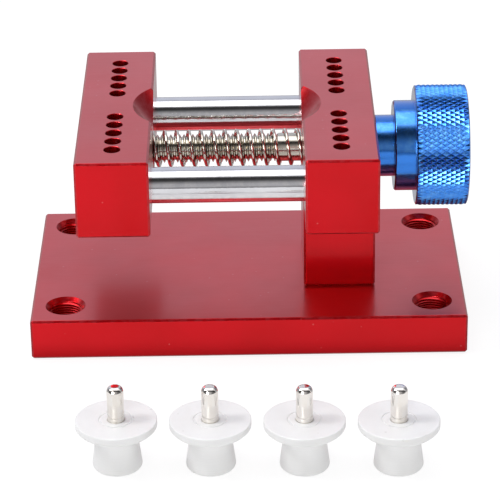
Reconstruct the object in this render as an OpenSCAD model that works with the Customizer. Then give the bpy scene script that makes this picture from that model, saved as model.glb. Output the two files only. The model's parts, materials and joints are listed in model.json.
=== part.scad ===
// Screw press for holding watch cases.
// A fixed jaw and a sliding jaw stand on a flat base. A knob turns a lead screw, which pulls the
// sliding jaw along two guide rods, and a spring pushes it back. Four loose pegs plug into the jaws.
// The origin is the centre of the base's underside. X runs along the screw, towards the knob.

/* [Base plate] */
// Length of the base plate, along the screw
base_l = 121.4; // [118:0.2:130]
// Width of the base plate, front to back
base_w = 70.8; // [66:0.2:80]
// Thickness of the base plate
base_t = 11.7; // [10:0.1:14]
// Distance from the plate's ends to the bolt holes
bolt_end = 9.4; // [8.5:0.1:11]
// Distance from the plate's sides to the bolt holes
bolt_side = 9.6; // [8.5:0.1:11]
// Radius of the tapped bolt holes, at the middle of the thread
bolt_r = 4.6; // [3.5:0.05:4.8]
// Radius of the bolt holes at the surface
bolt_mouth_r = 5.6; // [5:0.1:6]

/* [Riser] */
// Height of the jaws' undersides above the base plate
riser_h = 27.8; // [24:0.2:36]
// Width of the riser block, front to back
riser_w = 32; // [28:0.5:38]

/* [Jaws] */
// Thickness of each jaw, along the screw
jaw_t = 20.1; // [18:0.1:22]
// Length of each jaw, front to back
jaw_l = 81; // [78:0.2:90]
// Height of each jaw
jaw_h = 22; // [21:0.2:24]
// Open distance between the jaws
jaw_gap = 42; // [40:0.1:44]
// Distance from the plate's centre to the fixed jaw's inner face
jaw_face_x = 15.7; // [12:0.1:18]
// Chamfer on the long edges of the plate, the riser and the jaws
edge_chamfer = 0.6; // [0.3:0.1:1]

/* [Peg holes and notch] */
// Radius of a peg hole
peg_hole_r = 2.25; // [2.25:0.05:2.4]
// Depth of a peg hole
peg_hole_depth = 7.4; // [6:0.1:7.4]
// Number of peg holes in each row, with two rows in a jaw
peg_hole_count = 5; // [3:1:5]
// Distance between the centres of two neighbouring peg holes
peg_hole_pitch = 5.66; // [5.4:0.02:5.8]
// Distance between the centres of the two innermost peg holes of a jaw
peg_hole_gap = 16.84; // [16:0.02:17]
// Radius of the tapered notch at the jaw's top
notch_r = 17; // [14:0.1:18]
// Distance from the jaw's inner face to the notch's axis
notch_offset = 11.7; // [11:0.1:12.5]
// Depth at which the notch runs out of the jaw's inner face
notch_depth = 7; // [5:0.2:7.2]

/* [Guide rods] */
// Radius of a guide rod
rod_r = 5; // [4:0.5:5]
// Distance from the screw's axis to each guide rod
rod_side = 24.75; // [22:0.25:28]
// Height of the screw and the rods above the jaws' undersides
axis_h = 8.4; // [8:0.1:9]
// Depth of the rods' seats in the fixed jaw
rod_seat = 15; // [10:0.5:16]

/* [Lead screw] */
// Radius of the lead screw over its thread
screw_r = 4; // [3:0.5:4]
// Length of the screw's end that the knob holds
screw_grip = 20; // [14:0.5:22]

/* [Spring] */
// Mean radius of the spring's coil
spring_r = 4.85; // [4.85:0.05:5.05]
// Radius of the spring's wire
wire_r = 0.48; // [0.4:0.02:0.5]
// Number of turns
spring_turns = 15.25; // [12:0.25:16]
// Angle at which the coil starts, from the back upwards
spring_start = -72; // [-180:6:180]
// Radius of the spring's pocket in each jaw
pocket_r = 5.75; // [5.7:0.05:6]
// Depth of the spring's pocket in each jaw
pocket_depth = 3; // [2:0.5:4]

/* [Knob] */
// Radius of the knurled grip
grip_r = 17; // [14:0.1:18]
// Length of the knurled grip
grip_l = 14.7; // [12:0.1:16]
// Radius of the middle step
step_r = 12.75; // [11:0.05:13]
// Length of the middle step
step_l = 5.9; // [4:0.1:7]
// Radius of the hub
hub_r = 8.7; // [7:0.1:9]
// Length of the hub
hub_l = 5.4; // [5:0.1:8]

/* [Pegs] */
// Radius of a peg's flange
flange_r = 10.6; // [9:0.1:12]
// Thickness of a peg's flange
flange_t = 2.8; // [2:0.1:4]
// Radius of a peg's foot where it meets the flange
foot_top_r = 5.25; // [4.5:0.05:5.5]
// Radius of a peg's foot at its end
foot_end_r = 6.5; // [5.6:0.1:7]
// Height of a peg's foot
foot_h = 10.8; // [9:0.1:13]
// Radius of a peg's pin
pin_r = 2.2; // [2:0.05:2.2]
// Length of the pin that stands out of the flange
pin_out = 9.6; // [8:0.1:11]
// Distance between two pegs as they stand in front of the press
peg_spacing = 24.2; // [23:0.05:30]
// Distance from the plate's centre to the row of pegs in front of it
peg_front = 94.8; // [60:0.2:110]
// Distance that the row of pegs stands to the right of the plate's centre
peg_row_x = 1.8; // [-4:0.1:4]
// Turn of the row of pegs from the press, as they are set down by hand
peg_row_turn = -1.65; // [-4:0.05:4]

/* [Fasteners] */
// Radius of the riser screws
riser_screw_r = 2.5; // [2:0.5:2.5]
// Length of the riser screws under the head
riser_screw_l = 40; // [38:1:42]
// Distance from the press's middle to each riser screw
riser_screw_side = 10; // [9.5:0.5:12]
// Radius of the grub screws
grub_r = 2; // [1.5:0.5:2]

/* [Hidden] */
$fn = 96;

// Radial gaps and face gaps
seat_gap = 0.01;
rod_gap = 0.03;
thread_gap = 0.05;
shank_gap = 0.2;
screw_clear = 0.25;
face_gap = 0.2;
cut = 1;

// Heights
jaw_bottom = base_t + riser_h;
jaw_top = jaw_bottom + jaw_h;
axis_z = jaw_bottom + axis_h;

// Places along the screw
fixed_x = jaw_face_x;
fixed_end_x = fixed_x + jaw_t;
moving_face_x = fixed_x - jaw_gap;
moving_x = moving_face_x - jaw_t;
rod_end_inset = 0.5;
screw_end_inset = 1;
knob_x = fixed_end_x + face_gap;
knob_l = hub_l + step_l + grip_l;
screw_seat_end = 0.4;
tip_chamfer = 0.6;

// Holes
mouth_slope = 1.2;
hole_lip = 0.15;
both_sides = [-1, 1];

// Spring. The closed turns at its ends lie just clear of each other.
spring_play = 0.02;
closed_turn_l = 2 * wire_r * 1.04;
wire_sides = 8;
steps_per_turn = 14;
closed_turns = 1;
spring_l = jaw_gap + 2 * pocket_depth - 2 * wire_r - 2 * spring_play;

// Screw heads and sockets
cap_r = 4.25;
cap_h = 5;
cap_edge = 0.4;
cap_recess_r = 4.6;
cap_recess_h = 5.6;
cap_socket_af = 4;
cap_socket_depth = 2.6;
cap_point = 0.6;
riser_tap_depth = 8;
grub_socket_af = 2;
grub_socket_depth = 1.4;
grub_point = 0.5;
grub_edge = 0.2;
grub_point_gap = 0.05;
rod_grub_l = 2.6;
rod_grub_x = fixed_x + rod_seat / 2;
knob_grub_l = 3.9;
knob_grub_x = hub_l / 2;

// Knob details
knob_edge = 0.4;
grip_round = 1.2;

// Peg details
peg_count = 4;
foot_round = 0.8;
flange_chamfer = 1;
flange_lip = 0.25;
ring_r = 4;
ring_w = 0.5;
ring_depth = 0.2;
pin_in = 8;
pin_foot = 0.3;
pin_shoulder = 0.35;
pin_tip_r = 1.2;
pin_tip_h = 1.3;

// Box with the same chamfer on all of its edges, standing on z = 0 with its low corner at x = 0
module chamfered_block(l, w, h, c) {
    translate([0, -w / 2, 0])
        intersection() {
            linear_extrude(h)
                chamfered_rect(l, w, c);
            translate([0, w, 0])
                rotate([90, 0, 0])
                    linear_extrude(w)
                        chamfered_rect(l, h, c);
            rotate([90, 0, 90])
                linear_extrude(l)
                    chamfered_rect(w, h, c);
        }
}

module chamfered_rect(a, b, c) {
    polygon([
        [c, 0], [a - c, 0], [a, c], [a, b - c],
        [a - c, b], [c, b], [0, b - c], [0, c]
    ]);
}

// Cylinder along X from x = 0
module rod_x(l, r) {
    rotate([0, 90, 0])
        cylinder(h = l, r = r);
}

// Rod along X with a chamfer at both ends
module pointed_rod_x(l, r, c) {
    rotate([0, 90, 0])
        rotate_extrude()
            polygon([[0, 0], [r - c, 0], [r, c], [r, l - c], [r - c, l], [0, l]]);
}

// Hexagonal socket along Z from z = 0, af across its flats
module hex_socket(af, depth) {
    cylinder(h = depth, r = af / sqrt(3), $fn = 6);
}

// Places of the bolt holes, as [x, y]
function bolt_places() = [
    for (sx = both_sides, sy = both_sides)
        [sx * (base_l / 2 - bolt_end), sy * (base_w / 2 - bolt_side)]
];

// Distances of the peg holes from the middle of the pattern
function hole_steps() = [
    for (side = both_sides, i = [0:peg_hole_count - 1])
        side * (peg_hole_gap / 2 + i * peg_hole_pitch)
];

// Middle of the fixed jaw along the screw
function riser_x() = fixed_x + jaw_t / 2;

// Tapped hole through the base plate, widened at both faces
module bolt_hole() {
    mouth = (bolt_mouth_r - bolt_r) * mouth_slope;
    translate([0, 0, -cut])
        cylinder(h = base_t + 2 * cut, r = bolt_r);
    translate([0, 0, base_t - mouth])
        cylinder(h = mouth, r1 = bolt_r, r2 = bolt_mouth_r);
    cylinder(h = mouth, r1 = bolt_mouth_r, r2 = bolt_r);
}

module base_plate() {
    color([0.74, 0.10, 0.13])
        difference() {
            translate([-base_l / 2, 0, 0])
                chamfered_block(base_l, base_w, base_t, edge_chamfer);
            for (p = bolt_places())
                translate([p[0], p[1], 0])
                    bolt_hole();
            for (side = both_sides)
                translate([riser_x(), side * riser_screw_side, 0]) {
                    translate([0, 0, -cut])
                        cylinder(h = base_t + 2 * cut, r = riser_screw_r + screw_clear);
                    translate([0, 0, -cut])
                        cylinder(h = cap_recess_h + cut, r = cap_recess_r);
                }
        }
}

module riser_block() {
    color([0.62, 0.08, 0.11])
        difference() {
            translate([fixed_x, 0, base_t])
                chamfered_block(jaw_t, riser_w, riser_h, edge_chamfer);
            for (side = both_sides)
                translate([riser_x(), side * riser_screw_side, base_t - cut])
                    cylinder(h = riser_h + 2 * cut, r = riser_screw_r + screw_clear);
        }
}

// Blind peg hole with a broken edge, its mouth at z = 0
module peg_hole() {
    translate([0, 0, -peg_hole_depth])
        cylinder(h = peg_hole_depth + cut, r = peg_hole_r);
    translate([0, 0, -hole_lip])
        cylinder(h = hole_lip, r1 = peg_hole_r, r2 = peg_hole_r + hole_lip);
}

// Jaw blank with its peg holes, notch and spring pocket. Its inner face is at x = 0, and the jaw
// lies on the side where x is positive.
module jaw_blank() {
    difference() {
        translate([0, 0, jaw_bottom])
            chamfered_block(jaw_t, jaw_l, jaw_h, edge_chamfer);
        for (y = hole_steps())
            translate([jaw_t / 2, y, jaw_top])
                peg_hole();
        translate([-notch_offset, 0, jaw_top - notch_depth])
            cylinder(h = notch_depth, r1 = notch_offset, r2 = notch_r);
        translate([-cut, 0, axis_z])
            rod_x(pocket_depth + cut, pocket_r);
    }
}

module fixed_jaw() {
    color([0.80, 0.12, 0.15])
        difference() {
            translate([fixed_x, 0, 0])
                jaw_blank();
            translate([fixed_x - cut, 0, axis_z])
                rod_x(jaw_t + 2 * cut, screw_r + shank_gap);
            for (side = both_sides) {
                translate([fixed_x - cut, side * rod_side, axis_z])
                    rod_x(rod_seat + cut, rod_r + seat_gap);
                translate([rod_grub_x, side * rod_side, jaw_bottom - cut])
                    cylinder(h = axis_h + cut, r = grub_r + seat_gap);
                translate([riser_x(), side * riser_screw_side, jaw_bottom - cut])
                    cylinder(h = riser_tap_depth + cut, r = riser_screw_r + seat_gap);
            }
        }
}

module moving_jaw() {
    color([0.80, 0.12, 0.15])
        difference() {
            translate([moving_face_x, 0, 0])
                mirror([1, 0, 0])
                    jaw_blank();
            translate([moving_x - cut, 0, axis_z])
                rod_x(jaw_t + 2 * cut, screw_r + thread_gap);
            for (side = both_sides)
                translate([moving_x - cut, side * rod_side, axis_z])
                    rod_x(jaw_t + 2 * cut, rod_r + rod_gap);
        }
}

module guide_rod(side) {
    start_x = moving_x + rod_end_inset;
    color([0.86, 0.87, 0.88])
        translate([start_x, side * rod_side, axis_z])
            pointed_rod_x(fixed_x + rod_seat - seat_gap - start_x, rod_r, tip_chamfer);
}

module lead_screw() {
    start_x = moving_x + screw_end_inset;
    color([0.80, 0.78, 0.72])
        translate([start_x, 0, axis_z])
            pointed_rod_x(knob_x + screw_grip - screw_seat_end - start_x, screw_r, tip_chamfer);
}

// Place of the coil along the screw after some turns, with a closed turn at each end
function coil_x(turn) =
    let (
        closed_l = closed_turns * closed_turn_l,
        open_pitch = (spring_l - 2 * closed_l) / (spring_turns - 2 * closed_turns)
    )
    turn < closed_turns ? turn * closed_turn_l
    : turn > spring_turns - closed_turns ? spring_l - (spring_turns - turn) * closed_turn_l
    : closed_l + (turn - closed_turns) * open_pitch;

// One ring of the wire, in the plane that holds the coil's axis
function wire_ring(turn) = [
    for (k = [0:wire_sides - 1])
        let (
            a = 360 * k / wire_sides,
            r = spring_r + wire_r * cos(a),
            t = 360 * turn + spring_start
        )
        [coil_x(turn) + wire_r * sin(a), r * cos(t), r * sin(t)]
];

module return_spring() {
    steps = round(spring_turns * steps_per_turn);
    n = wire_sides;
    points = [for (i = [0:steps]) each wire_ring(i * spring_turns / steps)];
    walls = [
        for (i = [0:steps - 1], k = [0:n - 1])
            [i * n + k, i * n + (k + 1) % n, (i + 1) * n + (k + 1) % n, (i + 1) * n + k]
    ];
    first = [for (k = [0:n - 1]) n - 1 - k];
    last = [for (k = [0:n - 1]) steps * n + k];
    color([0.82, 0.82, 0.80])
        translate([moving_face_x - pocket_depth + wire_r + spring_play, 0, axis_z])
            polyhedron(points = points, faces = concat([first], walls, [last]));
}

// Knob, turned as one piece: hub, step and grip, with a blind bore for the screw's end
module knob() {
    c = knob_edge;
    grip_x = hub_l + step_l;
    color([0.16, 0.42, 0.80])
        translate([knob_x, 0, axis_z])
            rotate([0, 90, 0])
                difference() {
                    rotate_extrude()
                        polygon([
                            [0, 0], [hub_r - c, 0], [hub_r, c], [hub_r, hub_l],
                            [step_r - c, hub_l], [step_r, hub_l + c], [step_r, grip_x],
                            [grip_r - c, grip_x], [grip_r, grip_x + c],
                            [grip_r, knob_l - grip_round],
                            [grip_r - grip_round / 3, knob_l - grip_round / 3],
                            [grip_r - grip_round, knob_l], [0, knob_l]
                        ]);
                    translate([0, 0, -cut])
                        cylinder(h = screw_grip + cut, r = screw_r + seat_gap);
                    translate([0, 0, knob_grub_x])
                        rotate([0, 90, 0])
                            cylinder(h = hub_r + cut, r = grub_r + seat_gap);
                }
}

// Grub screw along +Z, its point at z = 0 and its socket at the far end
module grub_screw(l) {
    difference() {
        rotate_extrude()
            polygon([
                [0, 0], [grub_r - grub_point, 0], [grub_r, grub_point],
                [grub_r, l - grub_edge], [grub_r - grub_edge, l], [0, l]
            ]);
        translate([0, 0, l - grub_socket_depth])
            hex_socket(grub_socket_af, grub_socket_depth + cut);
    }
}

module knob_grub_screw() {
    color([0.20, 0.20, 0.21])
        translate([knob_x + knob_grub_x, 0, axis_z - screw_r - grub_point_gap])
            rotate([180, 0, 0])
                grub_screw(knob_grub_l);
}

module rod_grub_screw(side) {
    color([0.20, 0.20, 0.21])
        translate([rod_grub_x, side * rod_side, axis_z - rod_r - grub_point_gap])
            rotate([180, 0, 0])
                grub_screw(rod_grub_l);
}

// Socket head cap screw, driven upwards from the base plate's underside
module riser_screw(side) {
    color([0.20, 0.20, 0.21])
        translate([riser_x(), side * riser_screw_side, cap_recess_h])
            difference() {
                rotate_extrude()
                    polygon([
                        [0, -cap_h], [cap_r - cap_edge, -cap_h], [cap_r, -cap_h + cap_edge],
                        [cap_r, 0], [riser_screw_r, 0],
                        [riser_screw_r, riser_screw_l - cap_point],
                        [riser_screw_r - cap_point, riser_screw_l], [0, riser_screw_l]
                    ]);
                translate([0, 0, -cap_h - cut])
                    hex_socket(cap_socket_af, cap_socket_depth + cut);
            }
}

// Place of a peg in the row in front of the press. Pegs are numbered from the left.
module at_peg(number) {
    translate([peg_row_x, -peg_front, 0])
        rotate([0, 0, peg_row_turn])
            translate([(number - (1 + peg_count) / 2) * peg_spacing, 0, 0])
                children();
}

// Nylon head: a tapered foot under a flange, with a seat for the pin. It stands on its foot.
module peg_head(number) {
    top = foot_h + flange_t;
    color([0.94, 0.94, 0.93])
        at_peg(number)
            difference() {
                rotate_extrude()
                    polygon([
                        [0, 0], [foot_end_r - foot_round, 0],
                        [foot_end_r - foot_round / 4, foot_round / 4],
                        [foot_end_r, foot_round],
                        [foot_top_r, foot_h], [flange_r - flange_chamfer, foot_h],
                        [flange_r, foot_h + flange_chamfer], [flange_r, top - flange_lip],
                        [flange_r - flange_lip, top], [0, top]
                    ]);
                translate([0, 0, top])
                    rotate_extrude()
                        polygon([
                            [ring_r, cut], [ring_r, -ring_depth],
                            [ring_r + ring_w, -ring_depth], [ring_r + ring_w, cut]
                        ]);
                translate([0, 0, top - pin_in])
                    cylinder(h = pin_in + cut, r = pin_r + seat_gap);
            }
}

// Steel pin with a blunt tapered tip
module peg_pin(number) {
    l = pin_in - seat_gap + pin_out;
    color([0.80, 0.79, 0.75])
        at_peg(number)
            translate([0, 0, foot_h + flange_t - pin_in + seat_gap])
                rotate_extrude()
                    polygon([
                        [0, 0], [pin_r - pin_foot, 0], [pin_r, pin_foot],
                        [pin_r, l - pin_tip_h], [pin_r - pin_shoulder, l - pin_tip_h / 3],
                        [pin_tip_r, l], [0, l]
                    ]);
}

base_plate();
riser_block();
fixed_jaw();
moving_jaw();
guide_rod(-1);  // front_guide_rod
guide_rod(1);  // rear_guide_rod
lead_screw();
return_spring();
knob();
knob_grub_screw();
rod_grub_screw(-1);  // front_rod_grub_screw
rod_grub_screw(1);  // rear_rod_grub_screw
riser_screw(-1);  // front_riser_screw
riser_screw(1);  // rear_riser_screw
peg_head(1);  // peg_head_1
peg_pin(1);  // peg_pin_1
peg_head(2);  // peg_head_2
peg_pin(2);  // peg_pin_2
peg_head(3);  // peg_head_3
peg_pin(3);  // peg_pin_3
peg_head(4);  // peg_head_4
peg_pin(4);  // peg_pin_4
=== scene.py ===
"""A screw press that holds watch cases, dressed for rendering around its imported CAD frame.

Each sub-assembly is a class that holds its sizes, builds its meshes and dresses them. Every piece
stands where its CAD node stands, replaces it, and rides on the same body.
"""

import json
import logging
import math
from dataclasses import dataclass
from enum import Enum
from functools import cache

import bmesh
import bpy
from mathutils import Matrix, Vector


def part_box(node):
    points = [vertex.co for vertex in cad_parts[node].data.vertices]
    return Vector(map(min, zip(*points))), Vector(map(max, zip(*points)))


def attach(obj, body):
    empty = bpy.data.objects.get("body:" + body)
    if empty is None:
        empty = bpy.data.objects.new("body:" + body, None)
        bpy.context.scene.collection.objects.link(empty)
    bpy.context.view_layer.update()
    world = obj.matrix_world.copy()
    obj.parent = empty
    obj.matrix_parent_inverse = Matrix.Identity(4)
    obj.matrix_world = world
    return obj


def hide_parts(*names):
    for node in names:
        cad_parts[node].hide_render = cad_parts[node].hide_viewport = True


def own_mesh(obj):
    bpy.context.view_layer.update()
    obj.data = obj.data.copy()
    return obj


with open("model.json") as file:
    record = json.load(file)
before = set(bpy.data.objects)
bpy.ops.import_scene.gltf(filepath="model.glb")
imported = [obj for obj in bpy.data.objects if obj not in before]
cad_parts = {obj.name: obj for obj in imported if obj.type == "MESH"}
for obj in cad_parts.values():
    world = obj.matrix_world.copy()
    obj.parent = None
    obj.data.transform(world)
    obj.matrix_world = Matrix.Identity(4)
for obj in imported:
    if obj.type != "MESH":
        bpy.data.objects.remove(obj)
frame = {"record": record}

MM = 0.001
EDGE = "edge"  # the faces' mark that the finishes read as a worn edge
SQUARE = 0.97  # a face whose normal has a part above this isn't slanted
OUT = 1.0  # how far a cutting tool stands out of what it cuts, in millimetres
RIDGE_SIDES = 48  # steps in one turn of a thread's ridge
RIDGE_FOOT = 0.46  # half the width of a thread's foot and of its crest, as shares of its pitch
RIDGE_CREST = 0.08
GROOVE_LEAN = 1.37  # weight of the way from the axis in a groove's place, against the way along it

RODS = ("front_guide_rod", "rear_guide_rod")
ROD_GRUBS = ("front_rod_grub_screw", "rear_rod_grub_screw")
RISER_SCREWS = ("front_riser_screw", "rear_riser_screw")

log = logging.getLogger("watch_case_press")


class Body(Enum):
    """The CAD bodies that pieces ride on."""

    FRAME = "press_frame"
    SCREW = "screw_and_knob"
    SLIDER = "sliding_jaw"


class Slot(Enum):
    """The record's material slots."""

    RED = "red_anodised"
    BLUE = "blue_anodised"
    ROD = "polished_rod"
    SCREW = "screw_steel"
    SPRING = "spring_steel"
    BLACK = "black_steel"
    NYLON = "white_nylon"
    PIN = "nickel_pin"


# ---------------------------------------------------------------------------------------------
# Places
# ---------------------------------------------------------------------------------------------


def upright(origin: Vector) -> Matrix:
    """The frame of a piece that is turned about +Z."""
    return Matrix.Translation(origin)


def downwards(origin: Vector) -> Matrix:
    """The frame of a piece that is turned about -Z."""
    return Matrix.Translation(origin) @ Matrix.Rotation(math.pi, 4, "X")


def sideways(origin: Vector) -> Matrix:
    """The frame of a piece that is turned about +X, its angles counted from +Y towards +Z."""
    turn = Matrix(((0, 0, 1, 0), (1, 0, 0, 0), (0, 1, 0, 0), (0, 0, 0, 1)))
    return Matrix.Translation(origin) @ turn


def sideways_back(origin: Vector) -> Matrix:
    """The frame of a piece that is turned about -X."""
    return sideways(origin) @ Matrix.Rotation(math.pi, 4, "X")


def middle(node: str) -> Vector:
    """The centre of a CAD node's box."""
    low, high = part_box(node)
    return (low + high) / 2


def half_height(node: str) -> float:
    """Half the height of a CAD node's box, in millimetres: the radius of a round node."""
    low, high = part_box(node)
    return (high.z - low.z) / 2 / MM


def mount(name: str) -> dict:
    """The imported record's mount of this name."""
    return next(m for m in frame["record"]["mounts"] if m["name"] == name)


# ---------------------------------------------------------------------------------------------
# Meshes
# ---------------------------------------------------------------------------------------------


@dataclass(frozen=True)
class Corner:
    """One corner of a turned outline, in millimetres.

    Attributes:
        radius: distance from the axis.
        along: place along the axis.
        soften: length that the rounding takes from the two lines that meet here.
    """

    radius: float
    along: float
    soften: float = 0.0


def rounded(outline: list[Corner], steps: int = 3) -> list[tuple[float, float]]:
    """Rounds the corners of an outline.

    Args:
        outline: the corners in order.
        steps: how many lines take the place of a softened corner.

    Returns:
        The points (radius, along) of the rounded outline.
    """
    points: list[tuple[float, float]] = []
    for i, corner in enumerate(outline):
        here = Vector((corner.radius, corner.along))
        if corner.soften == 0 or i in (0, len(outline) - 1):
            points.append(tuple(here))
            continue
        before = Vector((outline[i - 1].radius, outline[i - 1].along))
        after = Vector((outline[i + 1].radius, outline[i + 1].along))
        start = here + (before - here).normalized() * corner.soften
        end = here + (after - here).normalized() * corner.soften
        for k in range(steps + 1):
            t = k / steps
            points.append(tuple(start * (1 - t) ** 2 + here * 2 * t * (1 - t) + end * t * t))
    return points


class Shape:
    """The points and faces of one mesh, in millimetres about a local Z axis."""

    def __init__(self) -> None:
        """Starts with nothing."""
        self.points: list[tuple[float, float, float]] = []
        self.faces: list[list[int]] = []

    def point(self, radius: float, angle: float, along: float) -> int:
        """Adds a point in cylindrical form and returns its number."""
        self.points.append((radius * math.cos(angle), radius * math.sin(angle), along))
        return len(self.points) - 1

    def ring(self, radius: float, along: float, count: int) -> list[int]:
        """Adds a circle of points, or one point where the radius is nothing.

        Args:
            radius: the circle's radius.
            along: its place along the axis.
            count: how many points it has.

        Returns:
            The points' numbers.
        """
        if radius <= 0:
            return [self.point(0, 0, along)] * count
        return [self.point(radius, math.tau * i / count, along) for i in range(count)]

    def face(self, *corners: int) -> None:
        """Adds a face, without corners that are named twice in a row, if an area is left.

        Args:
            corners: the numbers of its points, in order.
        """
        kept = [c for i, c in enumerate(corners) if c != corners[i - 1]]
        if len(set(kept)) > 2:
            self.faces.append(kept)

    def bridge(self, first: list[int], second: list[int]) -> None:
        """Joins two rings, the second further along the outline.

        Args:
            first: the points of one ring.
            second: as many points of the next ring.
        """
        count = len(first)
        for i in range(count):
            j = (i + 1) % count
            self.face(first[i], first[j], second[j], second[i])

    def turn(self, outline: list[tuple[float, float]], count: int) -> list[list[int]]:
        """Adds the rings of an outline, joins them and returns them.

        Args:
            outline: points (radius, along) in order.
            count: how many points a ring has.

        Returns:
            The rings, one for each point of the outline.
        """
        rings = [self.ring(radius, along, count) for radius, along in outline]
        for first, second in zip(rings, rings[1:]):
            self.bridge(first, second)
        return rings

    def sweep(self, sections: list[list[int]]) -> None:
        """Joins the sections of a closed tube and closes its two ends.

        Args:
            sections: rings with the same number of points, in order.
        """
        for first, second in zip(sections, sections[1:]):
            self.bridge(first, second)
        self.face(*reversed(sections[0]))
        self.face(*sections[-1])

    def to_object(self, name: str, place: Matrix) -> bpy.types.Object:
        """Makes the object, in metres, with its faces turned outwards.

        Args:
            name: the piece's name.
            place: where the local frame stands.

        Returns:
            The new object, linked to the scene.
        """
        mesh = bpy.data.meshes.new(name)
        points = [place @ (Vector(p) * MM) for p in self.points]
        mesh.from_pydata(points, [], self.faces)
        shell = bmesh.new()
        shell.from_mesh(mesh)
        bmesh.ops.recalc_face_normals(shell, faces=shell.faces)
        shell.to_mesh(mesh)
        shell.free()
        return link(name, mesh)


def link(name: str, mesh: bpy.types.Mesh) -> bpy.types.Object:
    """Puts a mesh into the scene as an object of this name.

    Args:
        name: the object's name.
        mesh: its mesh.

    Returns:
        The new object.
    """
    piece = bpy.data.objects.new(name, mesh)
    bpy.context.scene.collection.objects.link(piece)
    return piece


def turned(name: str, outline: list[Corner], place: Matrix, count: int = 96) -> bpy.types.Object:
    """Makes a turned solid from an outline that starts and ends on its axis.

    Args:
        name: the piece's name.
        outline: its corners, in order.
        place: where the local frame stands.
        count: how many sides stand for the round.

    Returns:
        The new object.
    """
    shape = Shape()
    shape.turn(rounded(outline), count)
    return shape.to_object(name, place)


def hexagon(name: str, across: float, depth: float, place: Matrix) -> bpy.types.Object:
    """Makes a hexagonal key of a width across its flats, from its local origin down.

    Args:
        name: the tool's name.
        across: the width across its flats.
        depth: how far it goes down.
        place: where the mouth is.

    Returns:
        The tool, a closed solid.
    """
    shape = Shape()
    radius = across / math.sqrt(3)
    shape.turn([(0, -depth), (radius, -depth), (radius, 1), (0, 1)], 6)
    return shape.to_object(name, place)


def block(name: str, low: Vector, high: Vector, chamfer: float, soft: float) -> bpy.types.Object:
    """Makes a milled block whose edges are chamfered, and the chamfers' own edges eased.

    Args:
        name: the piece's name.
        low: its lowest corner, in metres.
        high: its highest corner, in metres.
        chamfer: width of the chamfers, in millimetres.
        soft: rounding of the chamfers' edges, in millimetres.

    Returns:
        The new object.
    """
    shell = bmesh.new()
    bmesh.ops.create_cube(shell, size=1)
    size = high - low
    for vertex in shell.verts:
        vertex.co = low + Vector([size[k] * (vertex.co[k] + 0.5) for k in range(3)])
    for offset, segments in ((chamfer, 1), (soft, 2)):
        bmesh.ops.bevel(
            shell,
            geom=list(shell.edges),
            offset=offset * MM,
            segments=segments,
            profile=0.5,
            affect="EDGES",
            clamp_overlap=True,
        )
    mesh = bpy.data.meshes.new(name)
    shell.to_mesh(mesh)
    shell.free()
    return link(name, mesh)


def cut(piece: bpy.types.Object, tools: list[bpy.types.Object]) -> None:
    """Cuts the tools out of a piece and removes them. The tools don't meet one another.

    Args:
        piece: what is cut.
        tools: closed solids, which are used up.
    """
    shell = bmesh.new()
    for tool in tools:
        shell.from_mesh(tool.data)
        bpy.data.objects.remove(tool)
    mesh = bpy.data.meshes.new("tool")
    shell.to_mesh(mesh)
    shell.free()
    tool = link("tool", mesh)
    step = piece.modifiers.new("cut", "BOOLEAN")
    step.operation = "DIFFERENCE"
    step.solver = "EXACT"
    step.object = tool
    graph = bpy.context.evaluated_depsgraph_get()
    result = bpy.data.meshes.new_from_object(piece.evaluated_get(graph))
    piece.modifiers.clear()
    result.name = piece.name
    piece.data = result
    bpy.data.objects.remove(tool)


def mark_edges(piece: bpy.types.Object, width: float) -> None:
    """Marks the slanted faces that are narrower than width, in metres, as worn edges.

    Args:
        piece: a finished mesh.
        width: the widest face that counts as an edge.
    """
    mesh = piece.data
    marks = mesh.attributes.new(EDGE, "FLOAT", "FACE")
    values = []
    for face in mesh.polygons:
        steep = max(abs(c) for c in face.normal)
        corners = [mesh.vertices[v].co for v in face.vertices]
        sides = [(corners[i] - corners[i - 1]).length for i in range(len(corners))]
        narrow = face.area < width * max(sides)
        values.append(1.0 if narrow and steep < SQUARE else 0.0)
    marks.data.foreach_set("value", values)


def finish_piece(
    piece: bpy.types.Object,
    material: bpy.types.Material,
    body: str,
    nodes: tuple[str, ...] = (),
    sharp: float = 35.0,
) -> bpy.types.Object:
    """Shades a piece, gives it its finish, sets it on its body and reports it.

    Args:
        piece: the finished mesh.
        material: what it is made of.
        body: the CAD body that it rides on.
        nodes: the CAD nodes that it stands for.
        sharp: angle in degrees from which an edge stays sharp.

    Returns:
        The piece.
    """
    mesh = piece.data
    mesh.materials.clear()
    mesh.materials.append(material)
    for face in mesh.polygons:
        face.use_smooth = True
        face.material_index = 0
    mesh.set_sharp_from_angle(angle=math.radians(sharp))
    weighted = piece.modifiers.new("shading", "WEIGHTED_NORMAL")
    weighted.mode = "FACE_AREA"
    weighted.keep_sharp = True
    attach(piece, body)
    if nodes:
        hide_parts(*nodes)
    log.info("%s: %d faces, rides on %s", piece.name, len(mesh.polygons), body)
    return piece


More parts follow.
